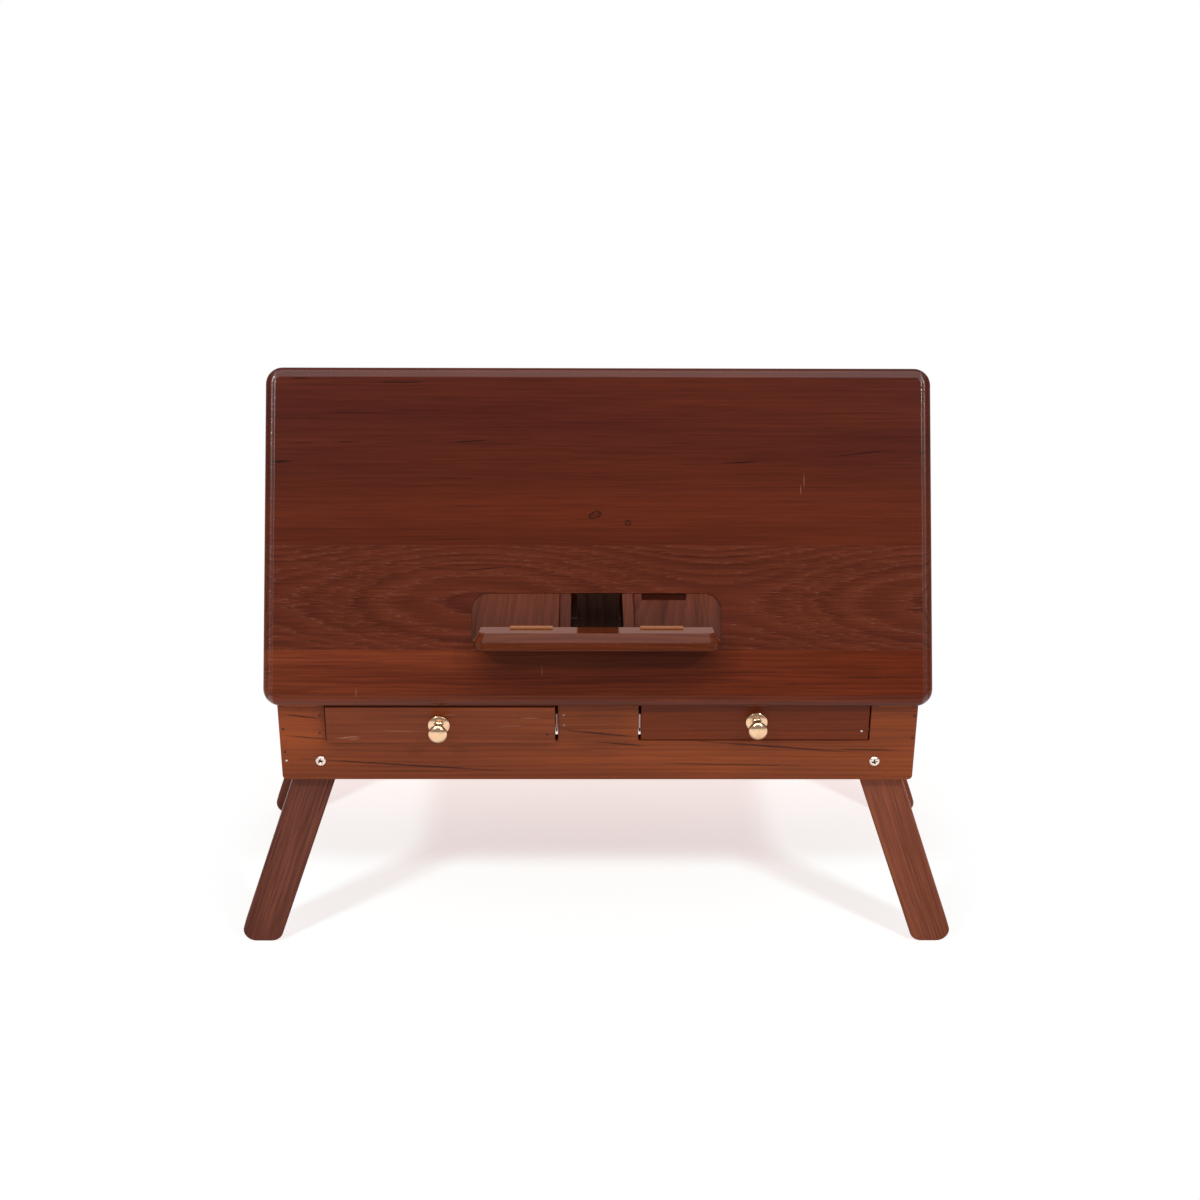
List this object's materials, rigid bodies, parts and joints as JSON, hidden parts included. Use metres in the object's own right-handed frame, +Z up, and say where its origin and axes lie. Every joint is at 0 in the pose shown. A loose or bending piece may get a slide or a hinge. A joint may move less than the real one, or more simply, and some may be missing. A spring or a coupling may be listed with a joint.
{
  "type": "folding lap desk",
  "caption": "Folding teak lap desk: tilting writing lid with a fold-out book ledge over a shallow drawer box, on splayed legs that fold in under it.",
  "frame": {"origin": "on the floor, under the middle of the desk", "axes": "+X to the user's right along the front board, +Y from the front to the back, +Z up"},
  "size_m": [0.6804, 0.2984, 0.5395],
  "materials": {
    "teak_lid": "lacquered, satin",
    "teak_frame": "lacquered, satin",
    "teak_inner": "plain, matt",
    "teak_leg": "lacquered, satin",
    "brass": "polished, a little worn",
    "steel": "plain, bright"
  },
  "bodies": {
    "base": {"front_board": "teak_frame", "back_board": "teak_frame", "drawer_shelf": "teak_inner", "well_floor": "teak_inner", "left_side_board": "teak_frame", "left_divider": "teak_inner", "left_guide": "teak_inner", "left_cover": "teak_inner", "left_cover_cleat": "teak_inner", "left_catch_plate": "steel", "left_lid_hinge_lower_leaf": "brass", "left_lid_hinge_pin": "brass", "right_side_board": "teak_frame", "right_divider": "teak_inner", "right_guide": "teak_inner", "right_cover": "teak_inner", "right_cover_cleat": "teak_inner", "right_catch_plate": "steel", "right_lid_hinge_lower_leaf": "brass", "right_lid_hinge_pin": "brass", "front_left_pivot_screw": "steel", "front_left_pivot_nut": "steel", "front_right_pivot_screw": "steel", "front_right_pivot_nut": "steel", "rear_left_pivot_screw": "steel", "rear_left_pivot_nut": "steel", "rear_right_pivot_screw": "steel", "rear_right_pivot_nut": "steel"},
    "lid": {"lid_panel": "teak_lid", "flap_stop_block": "teak_inner", "prop_bracket": "brass", "prop_pin": "steel", "left_lid_hinge_upper_leaf": "brass", "left_ledge_hinge_lid_leaf": "brass", "left_ledge_hinge_pin": "brass", "right_lid_hinge_upper_leaf": "brass", "right_ledge_hinge_lid_leaf": "brass", "right_ledge_hinge_pin": "brass"},
    "ledge": {"ledge_flap": "teak_lid", "left_ledge_hinge_flap_leaf": "brass", "right_ledge_hinge_flap_leaf": "brass"},
    "prop": {"prop_strut": "teak_inner"},
    "left_drawer": {"left_drawer_front": "teak_frame", "left_drawer_inner_side": "teak_inner", "left_drawer_outer_side": "teak_inner", "left_drawer_back": "teak_inner", "left_drawer_bottom": "teak_inner", "left_knob": "brass", "left_knob_screw": "steel"},
    "right_drawer": {"right_drawer_front": "teak_frame", "right_drawer_inner_side": "teak_inner", "right_drawer_outer_side": "teak_inner", "right_drawer_back": "teak_inner", "right_drawer_bottom": "teak_inner", "right_knob": "brass", "right_knob_screw": "steel"},
    "front_left_leg": {"front_left_leg": "teak_leg"},
    "front_right_leg": {"front_right_leg": "teak_leg"},
    "rear_left_leg": {"rear_left_leg": "teak_leg"},
    "rear_right_leg": {"rear_right_leg": "teak_leg"}
  },
  "joints": [
    {"name": "lid_tilt", "type": "hinge", "parent": "base", "child": "lid", "pos_m": [0, -0.12121, 0.2703], "axis": [1, 0, 0], "range_deg": [-61, 0]},
    {"name": "prop_swing", "type": "hinge", "parent": "lid", "child": "prop", "pos_m": [0, -0.06093, 0.36048], "axis": [1, 0, 0], "range_deg": [0, 113]},
    {"name": "ledge_fold", "type": "hinge", "parent": "lid", "child": "ledge", "pos_m": [-0.0017, -0.10703, 0.32521], "axis": [-1, 0, 0], "range_deg": [0, 100.5]},
    {"name": "left_drawer_slide", "type": "slide", "parent": "base", "child": "left_drawer", "axis": [0, -1, 0], "range_m": [-0.006, 0.15]},
    {"name": "right_drawer_slide", "type": "slide", "parent": "base", "child": "right_drawer", "axis": [0, -1, 0], "range_m": [0, 0.15]},
    {"name": "front_left_leg_fold", "type": "hinge", "parent": "base", "child": "front_left_leg", "pos_m": [-0.25304, -0.10021, 0.21], "axis": [0, -1, 0], "range_deg": [0, 109]},
    {"name": "front_right_leg_fold", "type": "hinge", "parent": "base", "child": "front_right_leg", "pos_m": [0.25304, -0.10021, 0.21], "axis": [0, 1, 0], "range_deg": [0, 109]},
    {"name": "rear_left_leg_fold", "type": "hinge", "parent": "base", "child": "rear_left_leg", "pos_m": [-0.25304, 0.12819, 0.21], "axis": [0, -1, 0], "range_deg": [0, 109]},
    {"name": "rear_right_leg_fold", "type": "hinge", "parent": "base", "child": "rear_right_leg", "pos_m": [0.25304, 0.12819, 0.21], "axis": [0, 1, 0], "range_deg": [0, 109]}
  ],
  "couplings": [
    {"joint": "prop_swing", "follows": "lid_tilt", "ratio": -1.8463}
  ]
}
